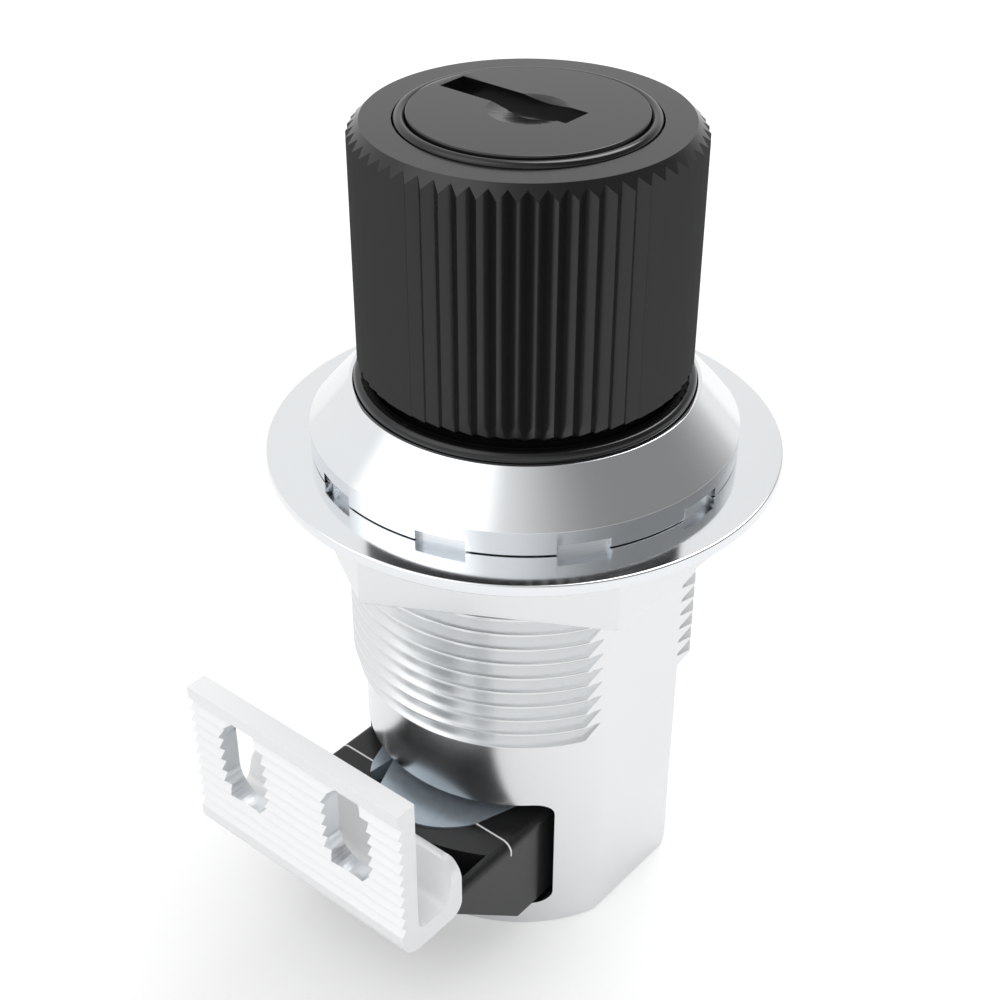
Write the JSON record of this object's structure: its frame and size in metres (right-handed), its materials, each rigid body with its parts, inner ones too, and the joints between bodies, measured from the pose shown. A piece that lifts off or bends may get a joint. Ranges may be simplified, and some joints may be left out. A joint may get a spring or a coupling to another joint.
{
  "type": "touch latch",
  "caption": "Push-to-close panel latch: fluted locking knob, chrome bezel, threaded barrel with flats, nut, sprung bolt and a serrated strike hooked over the bolt.",
  "frame": {"origin": "on the barrel's axis at the panel's outer face, which is the underside of the bezel plate", "axes": "+Z out of the panel along the barrel's axis to the knob; -Y from the axis to the bolt's nose and the keeper; X across the two flats"},
  "size_m": [0.0404, 0.0474, 0.0676],
  "materials": {
    "barrel_plated": "bright plated zinc, faint grain on the flats",
    "bezel_chrome": "polished",
    "nut_plated": "satin plated",
    "keeper_plated": "satin plated",
    "plate_steel": "blue-grey satin",
    "turned_steel": "turned",
    "screw_steel": "zinc plated",
    "spring_steel": "oiled",
    "knob_black": "satin black coat",
    "plug_black": "satin black coat",
    "seal_rubber": "smooth",
    "bolt_plastic": "moulded, satin",
    "cap_plastic": "moulded",
    "bush_plastic": "natural"
  },
  "bodies": {
    "housing": {"barrel": "barrel_plated", "bezel_plate": "bezel_chrome", "collar": "bezel_chrome", "hex_nut": "nut_plated", "knob_seal": "seal_rubber", "spindle_bush": "bush_plastic", "end_cap": "cap_plastic", "end_cap_ring": "spring_steel", "keeper": "keeper_plated", "bolt_spring_left": "spring_steel", "bolt_spring_right": "spring_steel"},
    "turning": {"knob": "knob_black", "spindle": "turned_steel", "spindle_clip": "spring_steel", "hub_screw_1": "screw_steel", "hub_screw_2": "screw_steel", "hub_screw_3": "screw_steel", "hub_screw_4": "screw_steel", "drive_disc": "turned_steel", "drive_pin": "screw_steel", "disc_screw": "screw_steel"},
    "plug": {"lock_plug": "plug_black", "plug_seal": "seal_rubber", "plug_clip": "spring_steel"},
    "dog": {"lock_dog": "turned_steel"},
    "sliding": {"bolt": "bolt_plastic", "bolt_plate": "plate_steel", "plate_rivet_1": "turned_steel", "plate_rivet_2": "turned_steel"}
  },
  "joints": [
    {"name": "knob_turn", "type": "hinge", "parent": "housing", "child": "turning", "pos_m": [0, 0, 0], "axis": [0, 0, -1], "range_deg": [0, 60], "stiffness_Nm_per_rad": 0.02, "springref_deg": -74.48},
    {"name": "bolt_slide", "type": "slide", "parent": "housing", "child": "sliding", "axis": [0, 1, 0], "range_m": [0, 0.005], "deforming": ["bolt_spring_left", "bolt_spring_right"]},
    {"name": "plug_turn", "type": "hinge", "parent": "turning", "child": "plug", "pos_m": [0, 0, 0.02], "axis": [0, 0, -1], "range_deg": [0, 90]},
    {"name": "dog_slide", "type": "slide", "parent": "turning", "child": "dog", "axis": [0, 1, 0], "range_m": [0, 0.00142]}
  ],
  "couplings": [
    {"joint": "bolt_slide", "follows": "knob_turn", "m_per_rad": 0.004774},
    {"joint": "dog_slide", "follows": "plug_turn", "m_per_rad": 0.0009}
  ]
}
